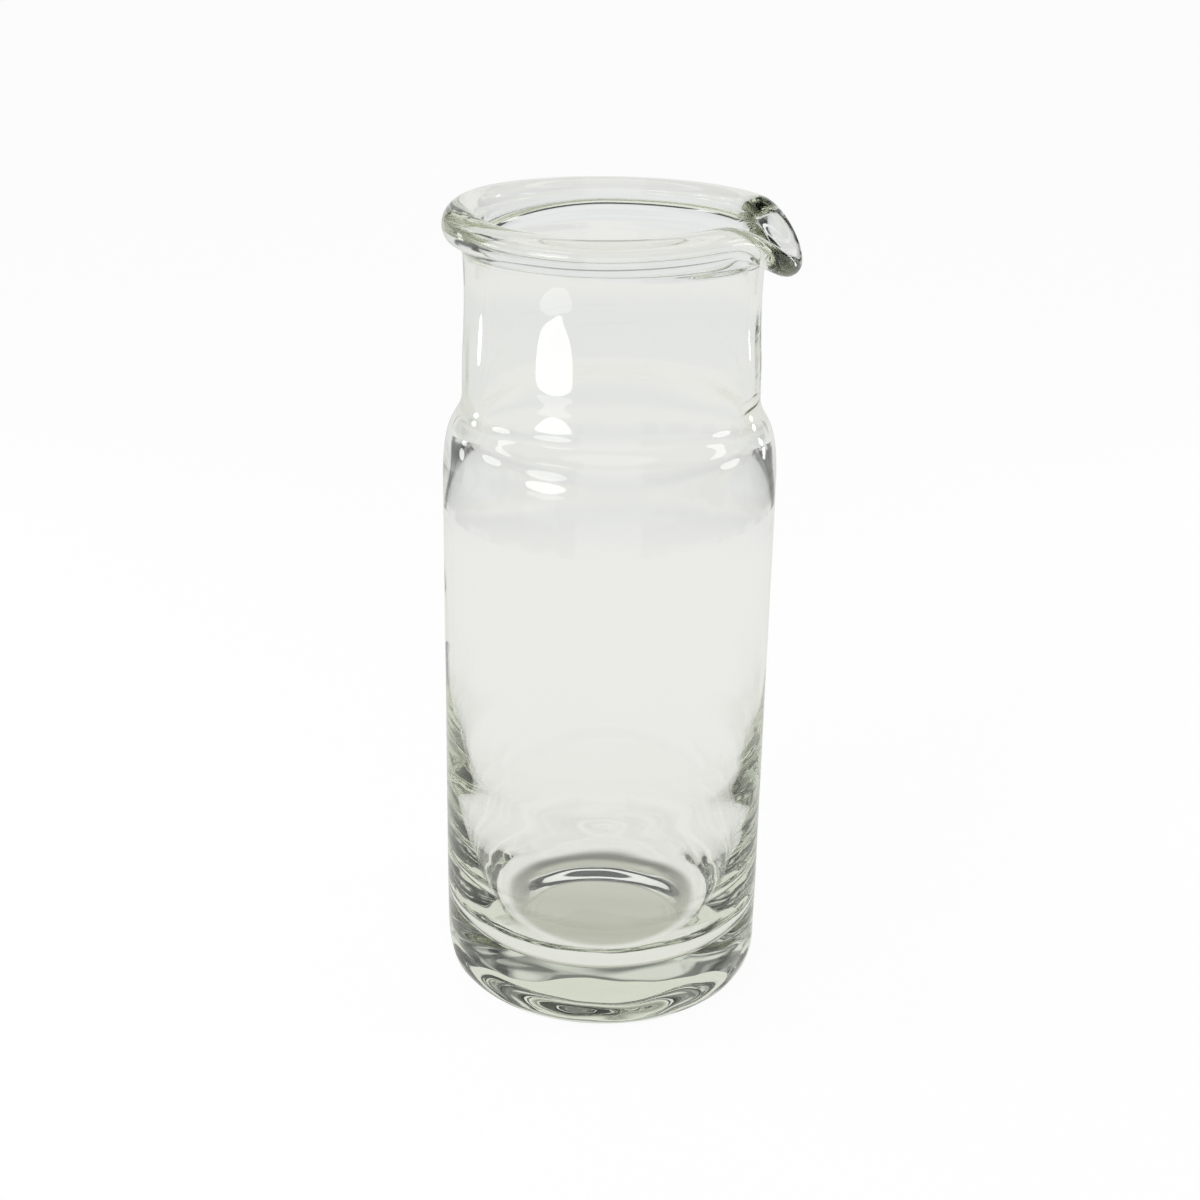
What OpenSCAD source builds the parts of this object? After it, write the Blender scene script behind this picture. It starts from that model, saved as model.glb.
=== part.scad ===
// Hand-blown water carafe with a heavy solid base, a stepped shoulder and a pulled spout.
// The glass is worked hot from two gathers: the blown vessel, and the lip that is wound
// on its mouth and pulled into the spout. They are fused face to face and nothing moves.
// The frame stands on the resting face, +Z is the axis of the vessel and +X the spout.

/* [Whole carafe] */
// Height from the resting face to the top of the rim
height = 240; // [200:1:290]
// Outside diameter of the straight body
body_d = 97.4; // [88:0.1:120]
// How far the shoulder steps in from the body to the foot of the neck
neck_inset = 5.5; // [4.5:0.1:7]
// How much further in the neck is at its waist
waist_inset = 1.4; // [0.4:0.1:2.4]
// How far the rolled rim stands out from the waist of the neck
rim_proud = 6.4; // [5.6:0.1:8]

/* [Base] */
// Solid glass under the floor of the cavity
base_t = 16.5; // [10:0.5:22]
// Diameter of the flat face on which the carafe stands
foot_d = 81; // [66:0.5:84]
// Height over which the heel rounds into the body
heel_h = 9.2; // [4:0.2:16]
// Diameter of the flat floor of the cavity
floor_d = 58; // [36:1:62]

/* [Body wall] */
// Thickness of the thin middle of the body
thin_wall = 1.7; // [1:0.1:3]
// Height of the upper end of the thin stretch
thin_top_z = 150; // [130:1:156]
// Height of the lower end of the thin stretch
thin_bottom_z = 104; // [84:1:116]
// Thickness where the wall starts to gather into the base
low_wall = 4.2; // [3:0.1:6]
// Height at which the wall has that thickness
low_wall_z = 64; // [50:1:76]

/* [Shoulder and neck] */
// Height at which the body starts to draw in
shoulder_z = 160; // [154:0.5:166]
// Height over which the shoulder steps in to the neck
shoulder_h = 25; // [18:0.5:28]
// How far the body runs up before the shoulder turns in
shoulder_fullness = 17.5; // [12:0.5:18]
// How far the neck runs down into the step
shoulder_step = 4.6; // [2:0.2:8]
// Wall of the neck
neck_wall = 4.8; // [3:0.1:6]

/* [Lip and spout] */
// Height of the lip above the seam on the neck
lip_h = 14; // [12:0.5:18]
// Thickness of the rolled bead from inside to outside
bead_w = 10.6; // [8:0.2:13]
// Height of the rolled bead
bead_h = 9.6; // [8:0.2:10.4]
// Height of the bead opposite the spout, where the wound gather ends and hangs
back_bead_h = 11.8; // [8:0.2:12]
// Angle to each side over which the bead swells towards its back
back_spread = 75; // [50:1:100]
// How far the rim dips on the right of someone who pours
rim_dip = 2; // [0:0.1:3]
// How much flatter the bead is where the rim dips
dip_press = 1.6; // [0:0.1:2]
// How far the spout carries the bead outwards
spout_reach = 6.6; // [4.6:0.2:8]
// How far the spout drops the bead
spout_drop = 10.6; // [7:0.2:12]
// Angle to each side over which the rim turns into the spout
spout_spread = 36; // [28:1:42]
// How strongly the drop gathers at the tip, where 1 spreads it like the reach
spout_pinch = 1.2; // [1:0.1:2]
// Thickness of the bead at the tip of the spout
tip_w = 7; // [5.6:0.2:8]
// Height of the bead at the tip of the spout
tip_h = 6.8; // [5.6:0.2:8.8]

/* [Hidden] */
glass = [0.86, 0.89, 0.86];

// Points along each drawn curve and round each bead
curve_points = 9;
bead_points = 16;
web_points = 6;
// Stations round the rim, and how much they crowd towards the spout
rim_stations = 96;
crowding_share = 0.62;

// Radii that the outlines share
body_r = body_d / 2;
neck_r = body_r - neck_inset;
neck_waist_r = neck_r - waist_inset;
rim_r = neck_waist_r + rim_proud;
foot_r = foot_d / 2;
floor_r = floor_d / 2;

// The seam between the vessel and the lip is a flat ring on top of the neck
seam_z = height - lip_h;
neck_foot_z = shoulder_z + shoulder_h;
neck_h = seam_z - neck_foot_z;
seam_flare_share = 0.6;
seam_r = neck_waist_r + (neck_r - neck_waist_r) * seam_flare_share;
bore_r = seam_r - neck_wall;

// Handles of the drawn curves, as shares of the sizes that they follow
neck_foot_handle_share = 0.29;
neck_waist_handle_share = 0.44;
waist_pull_share = 1.35;
floor_handle_share = 0.5;
low_wall_handle_share = 0.8;
wall_lean_share = 0.03;
thin_handle_share = 0.45;
inner_shoulder_rise_share = 0.55;
inner_neck_handle_share = 0.3;
inner_neck_gain_share = 0.34;

function clamp(t) = max(0, min(1, t));
function smooth(t) = t * t * (3 - 2 * t);
function mix(a, b, t) = a + (b - a) * t;

// Point of a cubic curve with end points a and d and handles b and c
function bezier(a, b, c, d, t) =
  a * pow(1 - t, 3) + 3 * b * t * pow(1 - t, 2) + 3 * c * t * t * (1 - t) + d * pow(t, 3);
// The points of such a curve after its first one
function curve(a, b, c, d, n = curve_points) = [for (i = [1 : n]) bezier(a, b, c, d, i / n)];

// A quarter of an ellipse from the foot up to the side of the body
heel = [for (i = [1 : curve_points]) let (turn = 90 * i / curve_points)
  [foot_r + (body_r - foot_r) * sin(turn), heel_h * (1 - cos(turn))]];

outer_shoulder = curve(
  [body_r, shoulder_z],
  [body_r, shoulder_z + shoulder_fullness],
  [neck_r, neck_foot_z - shoulder_step],
  [neck_r, neck_foot_z],
  2 * curve_points);

outer_neck = curve(
  [neck_r, neck_foot_z],
  [neck_r, neck_foot_z + neck_h * neck_foot_handle_share],
  [neck_r - (neck_r - neck_waist_r) * waist_pull_share, seam_z - neck_h * neck_waist_handle_share],
  [seam_r, seam_z]);

// The inside is free blown, so its curves are longer than those of the outside
low_r = body_r - low_wall;
thin_r = body_r - thin_wall;
inner_neck_r = bore_r + (neck_r - neck_waist_r) * inner_neck_gain_share;

cavity_corner = curve(
  [floor_r, base_t],
  [mix(floor_r, low_r, floor_handle_share), base_t],
  [low_r - (low_wall_z - base_t) * low_wall_handle_share * wall_lean_share,
    low_wall_z - (low_wall_z - base_t) * low_wall_handle_share],
  [low_r, low_wall_z],
  2 * curve_points);

low_to_thin = curve(
  [low_r, low_wall_z],
  [low_r + (thin_bottom_z - low_wall_z) * thin_handle_share * wall_lean_share,
    mix(low_wall_z, thin_bottom_z, thin_handle_share)],
  [thin_r, mix(thin_bottom_z, low_wall_z, thin_handle_share)],
  [thin_r, thin_bottom_z]);

inner_shoulder = curve(
  [thin_r, thin_top_z],
  [thin_r, mix(thin_top_z, neck_foot_z, inner_shoulder_rise_share)],
  [inner_neck_r, mix(neck_foot_z, thin_top_z, inner_neck_handle_share)],
  [inner_neck_r, neck_foot_z],
  2 * curve_points);

module vessel() {
  color(glass)
    rotate_extrude($fn = 180)
      polygon(concat(
        [[0, 0], [foot_r, 0]],
        heel,
        [[body_r, shoulder_z]],
        outer_shoulder,
        outer_neck,
        [[bore_r, seam_z]],
        [for (i = [len(inner_shoulder) - 1 : -1 : 0]) inner_shoulder[i]],
        [[thin_r, thin_top_z]],
        [for (i = [len(low_to_thin) - 1 : -1 : 0]) low_to_thin[i]],
        [for (i = [len(cavity_corner) - 1 : -1 : 0]) cavity_corner[i]],
        [[floor_r, base_t], [0, base_t]]));
}

// The lip is one bead whose section changes on its way round the mouth.
// Each value here runs from the plain rim to the tip of the spout, as w goes from 0 to 1.
// The bead also grows in height towards the back of the rim with u, and dips with d.
rim_bead_start = 180;
tip_bead_start = 112;
rim_bead_end = -56;
tip_bead_end = -172;
dip_angle = -95;
dip_spread = 110;
function rim_bead_h(u, d) = mix(bead_h, back_bead_h, u) - dip_press * d;
function bead_centre(w, u, d) = [
  rim_r - bead_w / 2 + spout_reach * w,
  height - rim_dip * d - rim_bead_h(u, d) / 2 - spout_drop * pow(w, spout_pinch)];
function bead_semi(w, u, d) = [mix(bead_w, tip_w, w) / 2, mix(rim_bead_h(u, d), tip_h, w) / 2];
function bead_start(w) = mix(rim_bead_start, tip_bead_start, w);
function bead_end(w) = mix(rim_bead_end, tip_bead_end, w);
function on_bead(w, u, d, turn) = bead_centre(w, u, d)
  + [bead_semi(w, u, d).x * cos(turn), bead_semi(w, u, d).y * sin(turn)];

inner_web_rise_share = 0.32;
inner_web_run_share = 0.5;
rim_web_share = 0.09;
rim_fillet_share = 0.16;
tip_crease_share = 0.05;
gutter_web_share = 0.11;

// Section of the lip in [radius, height], from the inner edge of the seam over the bead
function lip_section(w, u, d) =
  let (
    inner_seat = [bore_r, seam_z],
    outer_seat = [seam_r, seam_z],
    first = on_bead(w, u, d, bead_start(w)),
    last = on_bead(w, u, d, bead_end(w)),
    inner_rise = lip_h * inner_web_rise_share,
    inner_reach = mix(inner_rise, (first.x - bore_r) * inner_web_run_share, w),
    outer_rise = lip_h * mix(rim_fillet_share, tip_crease_share, w))
  concat(
    [inner_seat],
    curve(inner_seat, inner_seat + [0, inner_rise],
      first + mix([0, -inner_rise], [-inner_reach, bead_semi(w, u, d).y * gutter_web_share], w),
      first, web_points),
    [for (i = [1 : bead_points])
      on_bead(w, u, d, mix(bead_start(w), bead_end(w), i / bead_points))],
    curve(last,
      last + lip_h * mix([-rim_web_share, -rim_web_share], [0, gutter_web_share], w),
      outer_seat + [0, outer_rise], outer_seat, web_points));

function station_angle(i) = let (turn = 360 * i / rim_stations)
  turn - crowding_share * 180 / PI * sin(turn);
function away(angle) = abs((angle % 360 + 540) % 360 - 180);
function spout_weight(angle) = smooth(clamp(1 - away(angle) / spout_spread));
function back_weight(angle) = smooth(clamp(1 - (180 - away(angle)) / back_spread));
function dip_weight(angle) = smooth(clamp(1 - away(angle - dip_angle) / dip_spread));

lip_rings = [for (i = [0 : rim_stations - 1])
  let (angle = station_angle(i))
  [for (p = lip_section(spout_weight(angle), back_weight(angle), dip_weight(angle)))
    [p.x * cos(angle), p.x * sin(angle), p.y]]];
ring_len = len(lip_rings[0]);

function at(i, k) = (i % rim_stations) * ring_len + k % ring_len;

module lip() {
  color(glass)
    polyhedron(
      points = [for (ring = lip_rings) for (p = ring) p],
      faces = [for (i = [0 : rim_stations - 1]) for (k = [0 : ring_len - 1]) each
        [[at(i, k), at(i, k + 1), at(i + 1, k + 1)], [at(i, k), at(i + 1, k + 1), at(i + 1, k)]]],
      convexity = 8);
}

vessel();
lip();
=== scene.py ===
from math import cos, pi, radians, sin

import bpy
import numpy as np
from mathutils import Matrix, Vector, noise


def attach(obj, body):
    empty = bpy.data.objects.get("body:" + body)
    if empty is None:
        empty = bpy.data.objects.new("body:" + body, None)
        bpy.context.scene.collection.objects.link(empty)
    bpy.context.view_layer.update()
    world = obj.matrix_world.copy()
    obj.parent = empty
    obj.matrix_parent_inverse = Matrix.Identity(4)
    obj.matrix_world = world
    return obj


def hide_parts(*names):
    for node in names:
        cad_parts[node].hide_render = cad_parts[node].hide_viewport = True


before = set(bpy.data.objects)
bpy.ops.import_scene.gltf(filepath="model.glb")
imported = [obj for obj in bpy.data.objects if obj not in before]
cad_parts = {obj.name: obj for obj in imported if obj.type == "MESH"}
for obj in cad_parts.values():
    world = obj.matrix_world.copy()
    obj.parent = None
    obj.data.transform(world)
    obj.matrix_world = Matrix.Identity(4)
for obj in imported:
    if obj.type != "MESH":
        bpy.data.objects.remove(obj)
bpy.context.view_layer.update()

# The blown vessel: a heavy solid base, a straight body, a stepped shoulder and a waisted
# neck. It is one gather of glass, free blown, so its inside only follows the outside.
# The glass is worked out in millimetres, and its mesh is made in metres.
MM = 0.001
height = 240.0
lip_h = 14.0
seam_z = height - lip_h
body_r = 48.7
foot_r, heel_h = 40.5, 9.2
shoulder_z, shoulder_h, shoulder_fullness, shoulder_step = 160.0, 25.0, 17.5, 4.6
neck_foot_z = shoulder_z + shoulder_h
neck_h = seam_z - neck_foot_z
neck_r, neck_waist_r, neck_wall = 43.2, 41.8, 4.8
seam_flare_share = 0.6
seam_r = neck_waist_r + (neck_r - neck_waist_r) * seam_flare_share
bore_r = seam_r - neck_wall

base_t, floor_r = 16.5, 29.0
low_wall, low_wall_z = 4.2, 64.0
thin_wall, thin_bottom_z, thin_top_z = 1.7, 104.0, 140.0
inner_neck_z, inner_neck_r = 185.0, 38.3
centre_r = 0.8


def mix(a, b, t):
    return a + (b - a) * t


def drawn(a, b, c, d, n):
    """n points of a cubic curve from a to d with handles b and c, without its first point."""
    a, b, c, d = (np.array(p, float) for p in (a, b, c, d))
    t = np.linspace(0, 1, n + 1)[1:, None]
    return a * (1 - t) ** 3 + 3 * b * t * (1 - t) ** 2 + 3 * c * t * t * (1 - t) + d * t ** 3


def straight(a, b, n):
    return drawn(a, mix(np.array(a), np.array(b), 1 / 3), mix(np.array(a), np.array(b), 2 / 3), b, n)


def outside_of_vessel():
    """Radius and height from the middle of the base up to the lip."""
    neck_foot_handle_share, neck_waist_handle_share, waist_pull_share = 0.29, 0.44, 1.35
    pulled_r = neck_r - (neck_r - neck_waist_r) * waist_pull_share
    turn = np.linspace(0, pi / 2, 19)[1:]
    heel = np.stack([foot_r + (body_r - foot_r) * np.sin(turn), heel_h * (1 - np.cos(turn))], 1)
    return np.concatenate([
        straight((centre_r, 0), (foot_r, 0), 50),
        heel,
        straight((body_r, heel_h), (body_r, shoulder_z), 110),
        drawn((body_r, shoulder_z), (body_r, shoulder_z + shoulder_fullness),
              (neck_r, neck_foot_z - shoulder_step), (neck_r, neck_foot_z), 70),
        drawn((neck_r, neck_foot_z), (neck_r, neck_foot_z + neck_h * neck_foot_handle_share),
              (pulled_r, seam_z - neck_h * neck_waist_handle_share), (seam_r, seam_z), 70)])


def stepped(line):
    """The line with the blown step in it: a narrow, steep ring between two soft ones.

    The leans pair a height with how far the wall leans in from upright there, in degrees."""
    leans = ((160, 0.3), (165, 1.2), (168, 2.8), (170, 5.2), (171.5, 7.6), (173, 11), (174.5, 15),
             (175.8, 20), (177, 34.9), (178.5, 37.9), (180, 34.9), (181.4, 19), (183, 10.5), (184.5, 5.5),
             (186, 3.2), (187.5, 2.2), (189.2, 1), (190.5, -0.5), (192, -0.6), (193, -0.4), (194, 0.4),
             (195.5, 1.4), (197, 2.4), (199, 3.1))
    lean_z, lean = zip(*leans)
    rise = 0.25
    heights = np.arange(lean_z[0], lean_z[-1] + rise / 2, rise)
    slope = np.tan(np.radians(np.interp(heights, lean_z, lean)))
    radius = body_r - np.concatenate([[0], np.cumsum(slope[1:] + slope[:-1]) * rise / 2])
    on_step = (line[:, 1] > lean_z[0]) & (line[:, 1] < lean_z[-1])
    line[on_step, 0] = np.interp(line[on_step, 1], heights, radius)
    return line


def inside_of_vessel():
    """Radius and height from the middle of the floor up to the lip."""
    floor_handle_share, low_handle_share = 0.5, 0.8
    thin_start_share, thin_end_share = 0.25, 0.7
    rise_share, inner_neck_handle_share = 0.60, 0.3
    lean_share = 0.03
    low_r, thin_r = body_r - low_wall, body_r - thin_wall
    low_handle = (low_wall_z - base_t) * low_handle_share
    return np.concatenate([
        straight((centre_r, base_t), (floor_r, base_t), 18),
        drawn((floor_r, base_t), (mix(floor_r, low_r, floor_handle_share), base_t),
              (low_r - low_handle * lean_share, low_wall_z - low_handle), (low_r, low_wall_z), 60),
        drawn((low_r, low_wall_z),
              (low_r + (thin_bottom_z - low_wall_z) * thin_start_share * lean_share,
               mix(low_wall_z, thin_bottom_z, thin_start_share)),
              (thin_r, mix(thin_bottom_z, low_wall_z, thin_end_share)), (thin_r, thin_bottom_z), 36),
        straight((thin_r, thin_bottom_z), (thin_r, thin_top_z), 36),
        drawn((thin_r, thin_top_z), (thin_r, mix(thin_top_z, inner_neck_z, rise_share)),
              (inner_neck_r, mix(inner_neck_z, thin_top_z, inner_neck_handle_share)),
              (inner_neck_r, inner_neck_z), 40),
        straight((inner_neck_r, inner_neck_z), (bore_r, seam_z), 36)])


outer_line, inner_line = outside_of_vessel(), inside_of_vessel()[::-1]
stepped_line = stepped(outer_line.copy())

# The lip: a second, thick ring of glass round the mouth, rolled outwards and pulled with
# a tool into the spout while it was soft, so that its section thins towards the tip.
rim_r, bead_w, bead_h = 48.2, 10.6, 8.2
back_bead_h, back_spread = 11.8, radians(75)
rim_dip, dip_angle, dip_spread = 2.8, radians(-95), radians(110)
spout_reach, spout_drop, spout_spread, spout_pinch = 6.6, 10.1, radians(36), 1.2
tip_w, tip_h = 7.0, 6.8
bead_start, tip_start = 180, 112
bead_end, tip_end = -66, -172
cord_h, cord_turns = 0.3, 6.0


def section_of_lip(w, u, d, angle):
    """From the outer edge of the neck over the bead to the bore.

    w is 1 at the tip of the spout, u is 1 opposite it, where the bead hangs lower, and d is 1
    where the rim dips."""
    rim_bead_h = mix(bead_h, back_bead_h, u)
    centre = np.array([
        rim_r - bead_w / 2 + spout_reach * w,
        height - rim_dip * d - rim_bead_h / 2 - spout_drop * w ** spout_pinch])
    semi = np.array([mix(bead_w, tip_w, w), mix(rim_bead_h, tip_h, w)]) / 2
    turn = np.linspace(radians(mix(bead_start, tip_start, w)), radians(mix(bead_end, tip_end, w)), 55)
    cords = np.array([noise.noise((cord_turns * t + 1.5 * w, 1.6 * cos(angle) + 2 * w, 1.6 * sin(angle)))
                      for t in turn])
    cords = cords * np.sin(np.linspace(0, pi, len(turn))) * cord_h * w ** 0.7
    bead = centre + (semi + cords[:, None]) * np.stack([np.cos(turn), np.sin(turn)], 1)
    first, last = bead[0], bead[-1]
    rise = lip_h * 0.32
    reach = mix(rise, (first[0] - bore_r) * 0.5, w)
    inner = drawn((bore_r, seam_z), (bore_r, seam_z + rise),
                  first + mix(np.array([0, -rise]), np.array([-reach, semi[1] * 0.11]), w), first, 14)
    outer_rise = lip_h * mix(0.10, 0.05, w)
    outer = drawn(last, last + lip_h * mix(np.array([-0.03, 0.0]), np.array([0, 0.11]), w),
                  (seam_r, seam_z + outer_rise), (seam_r, seam_z), 14)
    return np.concatenate([inner, bead[1:], outer[:-1]])[::-1]


def eased(t):
    t = min(max(t, 0), 1)
    return t * t * (3 - 2 * t)


def apart(angle, other):
    return abs((angle - other + pi) % (2 * pi) - pi)


# The glass of both is fused, so it is one closed skin: an upright section at each station
# round the axis, closer together at the spout. The step of the shoulder is sharpest on one
# side. The heat of the last working rounds off every crease, and the resting face is flat.
stations, crowding = 384, 0.5
sharp_side = radians(-77)
softenings, flat_points = 5, 36

rows = []
for i in range(stations):
    turn = 2 * pi * i / stations
    angle = turn - crowding * sin(turn)
    off_spout = apart(angle, 0)
    outer = mix(outer_line, stepped_line, 0.55 + 0.45 * cos(angle - sharp_side))
    lip = section_of_lip(
        eased(1 - off_spout / spout_spread), eased(1 - (pi - off_spout) / back_spread),
        eased(1 - apart(angle, dip_angle) / dip_spread), angle)
    section = np.concatenate([outer, lip, inner_line])
    for _ in range(softenings):
        section[1:-1] = (section[:-2] + 2 * section[1:-1] + section[2:]) / 4
    section[:flat_points, 1] = 0
    rows.append(np.concatenate([section, np.full((len(section), 1), angle)], 1))
grid = np.array(rows)
r, z, angle = grid[..., 0], grid[..., 1], grid[..., 2]
per_row = grid.shape[1]

# Hand work leaves the glass uneven. The body is never quite round, the neck and the heel
# keep soft facets of the tools, and the inside, which no tool touched, has slow waves.
outside = np.arange(per_row)[None, :] < len(outer_line)
inside = np.arange(per_row)[None, :] >= per_row - len(inner_line)


def uneven(turns, rise, seed):
    """Smooth noise from -1 to 1: turns counts its waves round the glass, rise is their height."""
    k = turns / 2
    return np.array([[noise.noise((k * cos(a) + seed, k * sin(a) - seed, h / rise + 3 * seed))
                      for h, a in zip(zr, ar)] for zr, ar in zip(z, angle)])


def between(low, low_full, high_full, high):
    """1 from the height low_full up to high_full, falling to 0 at low and at high."""
    return np.clip((z - low) / (low_full - low), 0, 1) * np.clip((high - z) / (high - high_full), 0, 1)


out_of_round = 0.10 * (uneven(3, 26, 1.3) - 1) * between(4, 20, 228, 236)
neck_facets = 0.10 * uneven(12, 30, 2.9) * between(184, 190, 215, 225)
heel_facets = 0.35 * (uneven(9, 9, 3.3) - 1) * between(0.2, 5, 10, 24)
slow_waves = 0.15 * uneven(4, 24, 5.1) * between(30, 50, 226, 240)
low_rings = (0.05 + 0.03 * np.cos(angle - 0.2)) * uneven(3, 6.0, 8.7) * between(36, 60, 80, 112)
r = r + outside * (out_of_round + neck_facets + heel_facets)
r = r + inside * (slow_waves + low_rings)

# The underside was pushed up a little while it was soft, so that the carafe stands on a
# ring. The hollow lies slightly to one side, and the rest of the face is nearly flat.
hollow_h, hollow_r, hollow_edge, hollow_off = 2.5, 37.0, 16.0, 4.0
dish_h, dish_r = 0.4, foot_r - 3
wave_h, wave_length, wave_seed = 0.5, 16.0, 7.7
beneath = z < 0.01
waves = np.array([[noise.noise((a, b, wave_seed)) if low else 0 for a, b, low in zip(*row)]
                  for row in zip(r * np.cos(angle) / wave_length, r * np.sin(angle) / wave_length, beneath)])
from_middle = np.hypot(r * np.cos(angle - sharp_side) - hollow_off, r * np.sin(angle - sharp_side))
hollow = np.clip((hollow_r - from_middle) / hollow_edge, 0, 1)
dish = np.clip(1 - (r / dish_r) ** 2, 0, 1)
z = z + beneath * (hollow_h * hollow ** 2 * (3 - 2 * hollow) + dish * (dish_h + wave_h * waves))

# The bore of the neck stands a little off the axis of the outside, so that one side of
# the neck is thicker than the other.
bore_off, bore_from_z, bore_run, bore_side = 0.8, 150.0, 40.0, radians(13)
grid = np.stack([r * np.cos(angle), r * np.sin(angle), z], 2)
bore_shift = inside * np.clip((z - bore_from_z) / bore_run, 0, 1)
grid[..., 0] += bore_off * bore_shift * cos(bore_side)
grid[..., 1] += bore_off * bore_shift * sin(bore_side)

points = np.concatenate([grid.reshape(-1, 3), [[0, 0, z[:, 0].mean()], [0, 0, base_t]]]) * MM
under, floor_mid = len(points) - 2, len(points) - 1
faces = []
for i in range(stations):
    a, b = i * per_row, (i + 1) % stations * per_row
    faces += [(a + k, b + k, b + k + 1, a + k + 1) for k in range(per_row - 1)]
    faces += [(under, b, a), (floor_mid, a + per_row - 1, b + per_row - 1)]
mesh = bpy.data.meshes.new("carafe_glass")
mesh.from_pydata([tuple(p) for p in points], [], faces)
mesh.shade_smooth()
carafe = bpy.data.objects.new("carafe_glass", mesh)
bpy.context.scene.collection.objects.link(carafe)


class Wire:
    """A socket in a node tree that takes part in sums, as in 1 - wire * 0.5."""

    def __init__(self, tree, socket=None):
        self.tree, self.socket = tree, socket

    def node(self, kind, settings=None, sockets=None, out=0):
        made = self.tree.nodes.new(kind)
        for name, value in (settings or {}).items():
            setattr(made, name, value)
        for key, value in (sockets or {}).items():
            if isinstance(value, Wire):
                self.tree.links.new(value.socket, made.inputs[key])
            else:
                made.inputs[key].default_value = value
        return Wire(self.tree, made.outputs[out])

    def maths(self, operation, a, b):
        return self.node("ShaderNodeMath", {"operation": operation}, {0: a, 1: b})

    def __add__(self, other):
        return self.maths("ADD", self, other)

    def __radd__(self, other):
        return self.maths("ADD", other, self)

    def __sub__(self, other):
        return self.maths("SUBTRACT", self, other)

    def __rsub__(self, other):
        return self.maths("SUBTRACT", other, self)

    def __mul__(self, other):
        return self.maths("MULTIPLY", self, other)

    def __rmul__(self, other):
        return self.maths("MULTIPLY", other, self)

    def ramp(self, start, end, first, last):
        """From first, where the wire is at start, softly to last, where it is at end."""
        return self.node("ShaderNodeMapRange", {"interpolation_type": "SMOOTHSTEP"},
                         {"Value": self, "From Min": start, "From Max": end, "To Min": first, "To Max": last})

    def measured(self, operation, *others):
        """A number that is worked out from this vector and the others."""
        return self.node("ShaderNodeVectorMath", {"operation": operation},
                         dict(enumerate((self, *others))), out="Value")

    def into(self, name, key):
        self.tree.links.new(self.socket, self.tree.nodes[name].inputs[key])


# Clear soda glass, fire polished. It has a faint green tint that shows where it is thick.
clear_glass = bpy.data.materials.new("clear_glass")
clear_glass.use_nodes = True
shader = clear_glass.node_tree.nodes["Principled BSDF"]
shader.inputs["Base Color"].default_value = (1, 1, 1, 1)
shader.inputs["Roughness"].default_value = 0
shader.inputs["IOR"].default_value = 1.5
shader.inputs["Transmission Weight"].default_value = 1
tint = Wire(clear_glass.node_tree).node(
    "ShaderNodeVolumeAbsorption", sockets={"Color": (0.52, 0.60, 0.32, 1), "Density": 5.0})
tint.into("Material Output", "Volume")
mesh.materials.append(clear_glass)
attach(carafe, "root")
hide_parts("vessel", "lip")

# The floor is a plain white board. What the camera sees of it directly is white, with a
# faint contact shadow. What the glass shows of it is painted: a painted shadow of the
# carafe, dark right behind the base, pale all round, a little dimmer further back, and pale
# again far away.
floor_reach, floor_z = 6.0, -0.0002
floor_mesh = bpy.data.meshes.new("floor")
corners = [(x * floor_reach, y * floor_reach, floor_z) for x, y in ((-1, -1), (1, -1), (1, 1), (-1, 1))]
floor_mesh.from_pydata(corners, [], [(0, 1, 2, 3)])
floor = bpy.data.objects.new("floor", floor_mesh)
bpy.context.scene.collection.objects.link(floor)
board = bpy.data.materials.new("white_board")
board.use_nodes = True
board.node_tree.nodes.remove(board.node_tree.nodes["Principled BSDF"])
paint = Wire(board.node_tree)


def mixed(share, first, second):
    return paint.node("ShaderNodeMix", {"data_type": "RGBA"}, {0: share, 6: first, 7: second}, out=2)


def switched(wire, ray, otherwise, then):
    """The shader then for one kind of ray, and otherwise for the rest."""
    kind = wire.node("ShaderNodeLightPath", out=ray)
    return wire.node("ShaderNodeMixShader", sockets={0: kind, 1: otherwise, 2: then})


# shade is the painted colour of the floor in the carafe's shadow under the base.
pale, dim, shade = (0.845, 0.845, 0.815, 1), (0.785, 0.795, 0.785, 1), (0.535, 0.54, 0.465)
shade_centre, shade_heading = (-0.0022, 0.0097, 0), (-0.225, 0.974, 0)
place = paint.node("ShaderNodeTexCoord", out="Object")
away = place.measured("LENGTH")
behind = place.measured("DISTANCE", shade_centre)
depth = place.measured("DOT_PRODUCT", shade_heading)
far, farther = away.ramp(0.35, 0.9, 0.0, 1.0), away.ramp(0.9, 1.35, 0.0, 0.9)
open_floor = mixed(far * (1 - farther), pale, dim)
# Painted shadow of the carafe, as the glass shows the floor: a dark ring round the base, darkest at the back.
ring = behind.ramp(0.026, 0.030, 1.0, depth.ramp(-0.010, 0.036, 1.0, 0.36))
painted_shadow_under_glass = paint.node("ShaderNodeVectorMath", {"operation": "SCALE"}, {0: shade, "Scale": ring})
through_colour = mixed(behind.ramp(0.031, 0.042, 0.0, 1.0), painted_shadow_under_glass, open_floor)
through = paint.node("ShaderNodeEmission", sockets={"Color": through_colour, "Strength": 1.0})
mirrored = paint.node("ShaderNodeEmission", sockets={"Color": through_colour, "Strength": 0.9})
diffuse = paint.node("ShaderNodeBsdfDiffuse", sockets={"Color": (0.9, 0.9, 0.9, 1)})
seen = paint.node("ShaderNodeAddShader", sockets={
    0: paint.node("ShaderNodeEmission", sockets={"Color": (1, 1, 1, 1), "Strength": 0.915}),
    1: paint.node("ShaderNodeBsdfDiffuse", sockets={"Color": (0.2, 0.2, 0.2, 1)})})
look = switched(paint, "Is Glossy Ray", diffuse, mirrored)
look = switched(paint, "Is Transmission Ray", look, through)
look = switched(paint, "Is Camera Ray", look, seen)
look.into("Material Output", "Surface")
floor_mesh.materials.append(board)

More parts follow.
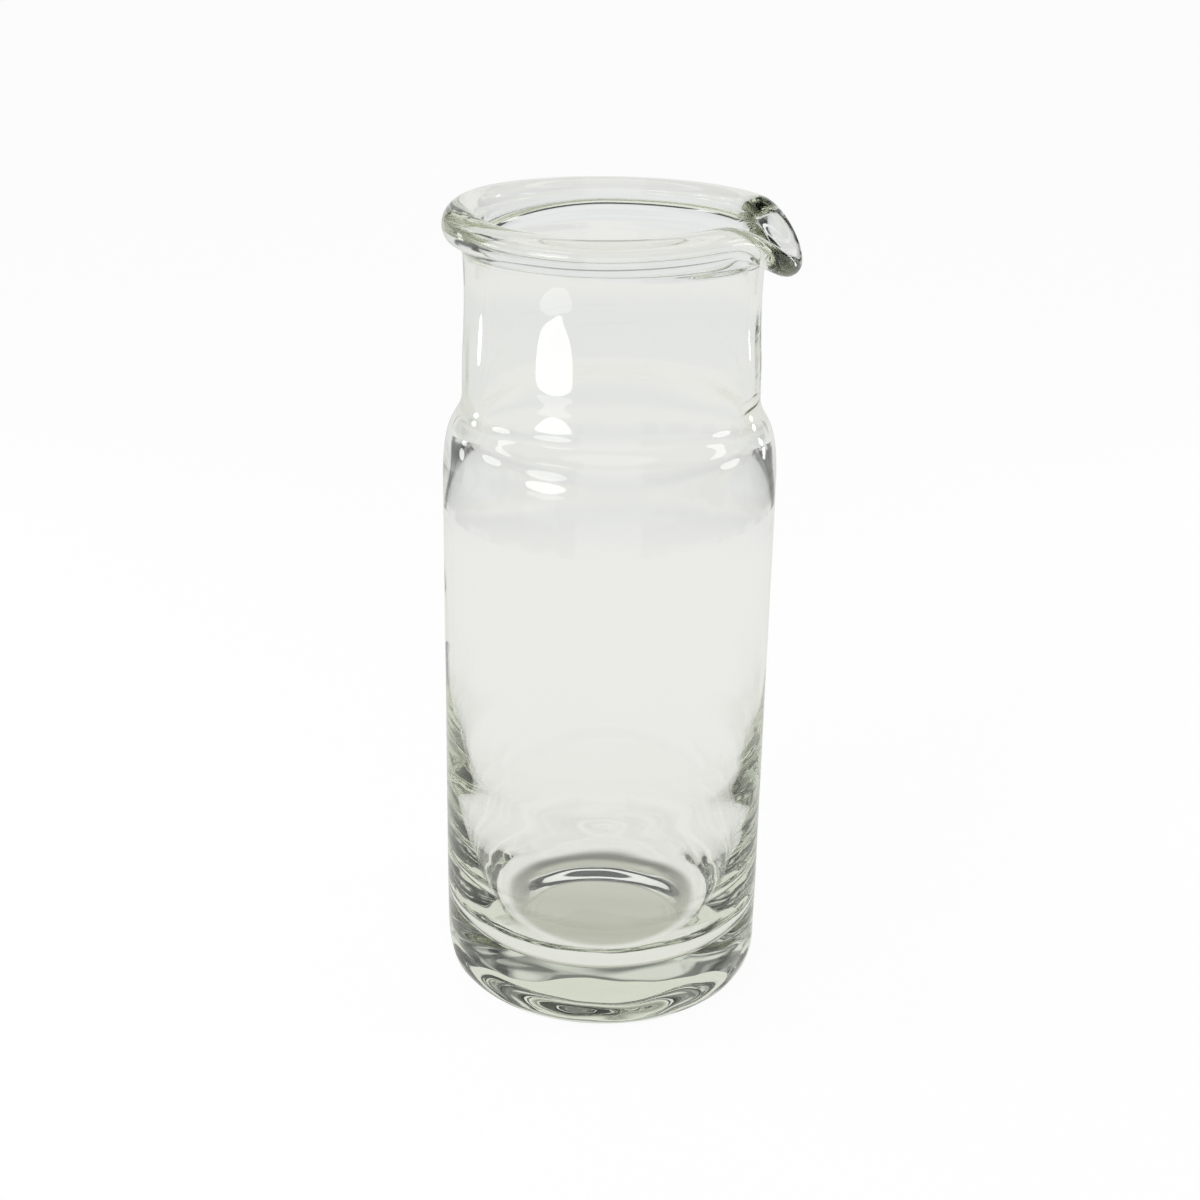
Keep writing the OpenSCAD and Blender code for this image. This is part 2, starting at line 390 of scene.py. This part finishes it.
# The studio behind what the camera sees: a white sweep that rises from the floor, a darker
# gap above it, lit walls broken by dark things, a dark ceiling and a bright opening round
# its middle. A sheet of white paper stands before and behind the carafe. Heights here are
# the sines of the angle above the floor.
spout_turn = radians(13)
world = bpy.data.worlds.new("studio")
bpy.context.scene.world = world
world.use_nodes = True
sky = Wire(world.node_tree)
heading = sky.node("ShaderNodeTexCoord", out="Generated")
upward = sky.node("ShaderNodeSeparateXYZ", sockets={0: heading}, out="Z")
sideways = heading.measured("DOT_PRODUCT", (cos(spout_turn), sin(spout_turn), 0))
sweep = upward.ramp(0.02, 0.11, 0.80, 0.06)
below_ceiling = upward.ramp(0.50, 0.76, 1.0, 0.08)
walls = upward.ramp(0.25, 0.42, 0.09, 0.85) * below_ceiling
things = sky.node("ShaderNodeTexNoise", sockets={
    "Vector": heading, "Scale": 3.0, "Detail": 3.0, "Roughness": 0.6})
room = sky.maths("MAXIMUM", sweep, walls) * things.ramp(0.42, 0.56, 0.10, 1.0)
off_middle = sky.maths("ABSOLUTE", sideways, 0)
paper = off_middle.ramp(0.34, 0.42, 0.85, 0.0) * below_ceiling * upward.ramp(0.0, 0.3, 1.03, 1.0)
streaks = sky.node("ShaderNodeTexNoise", sockets={
    "Vector": sky.node("ShaderNodeVectorMath", {"operation": "MULTIPLY"}, {0: heading, 1: (2.0, 2.0, 14.0)}),
    "Scale": 1.0, "Detail": 2.0})
shaded_top = upward.ramp(0.47, 0.53, 0.0, 1.0) * streaks.ramp(0.60, 0.44, 0.30, 0.72)
opening = upward.ramp(0.78, 0.80, 0.0, 1.0) * upward.ramp(0.86, 0.88, 1.0, 0.0)
strength = sky.maths("MAXIMUM", room, paper) * (1 - shaded_top) + opening
surround = sky.node("ShaderNodeBackground", sockets={"Color": (0.935, 0.95, 0.95, 1), "Strength": strength})
backdrop = sky.node("ShaderNodeBackground", sockets={"Color": (1, 1, 1, 1), "Strength": 1.0})
switched(sky, "Is Camera Ray", surround, backdrop).into("World Output", "Surface")

# The camera stands where the photograph's outlines put it, in metres, with the spout
# turned a little towards it. The focal length is in pixels of the whole image.
camera_place = Vector((0, -0.5399, 0.3309))
pitch, yaw, roll = radians(21.255), radians(-0.225), radians(1.032)
focal_px, image_px, sensor = 1929.55, 1200, 36
ahead = Vector((sin(yaw) * cos(pitch), cos(yaw) * cos(pitch), -sin(pitch)))
level = Vector((cos(yaw), -sin(yaw), 0))
upright = level.cross(ahead)
across = cos(roll) * level + sin(roll) * upright
upright = -sin(roll) * level + cos(roll) * upright
turned = Matrix.Rotation(spout_turn, 3, "Z")
axes = Matrix((turned @ across, turned @ upright, turned @ -ahead)).transposed()
camera = bpy.data.objects.new("camera", bpy.data.cameras.new("camera"))
camera.matrix_world = Matrix.Translation(turned @ camera_place) @ axes.to_4x4()
camera.data.sensor_width = sensor
camera.data.lens = sensor * focal_px / image_px
bpy.context.scene.collection.objects.link(camera)
bpy.context.scene.camera = camera


# Soft oval panels stand round the carafe, low, in the middle and high. The mirror image of
# each in the curved glass is one of the long or flat highlights.
def softbox(name, side, distance, low, high, width, radiance):
    """An upright panel; side is its angle to the right of the camera, seen from the carafe."""
    bearing = spout_turn + radians(side)
    lamp = bpy.data.lights.new(name, "AREA")
    lamp.shape, lamp.size, lamp.size_y = "ELLIPSE", width, high - low
    lamp.energy = radiance * pi * width * (high - low) * pi / 4
    panel = bpy.data.objects.new(name, lamp)
    stand = Vector((sin(bearing) * distance, -cos(bearing) * distance, (low + high) / 2))
    facing = Matrix.Rotation(bearing, 4, "Z") @ Matrix.Rotation(pi / 2, 4, "X")
    panel.matrix_world = Matrix.Translation(stand) @ facing
    panel.visible_camera = panel.visible_transmission = False
    bpy.context.scene.collection.objects.link(panel)


softbox("key_foot", -42, 0.7, 0.002, 0.039, 0.34, 1.8)
softbox("key_low", -42, 0.7, 0.04, 0.15, 0.36, 5.5)
softbox("back_low", -118, 0.8, 0.04, 0.14, 0.10, 5)
softbox("far_low", 128, 0.8, 0.04, 0.14, 0.08, 5)
for name, side, distance, width, radiance in (
        ("key", -42, 0.7, 0.36, 3.5), ("left", -86, 0.8, 0.26, 4), ("back", -118, 0.8, 0.10, 4),
        ("right", 88, 0.8, 0.26, 4), ("far", 128, 0.8, 0.08, 4)):
    softbox(name + "_mid", side, distance, 0.18, 0.33, width, radiance)
    softbox(name + "_high", side, distance, 0.60, 0.72, width, 0.8 * radiance)

# Light passes through thick glass many times before it leaves it.
scene = bpy.context.scene
scene.cycles.max_bounces = scene.cycles.transmission_bounces = scene.cycles.glossy_bounces = 40
scene.view_settings.view_transform = "Standard"
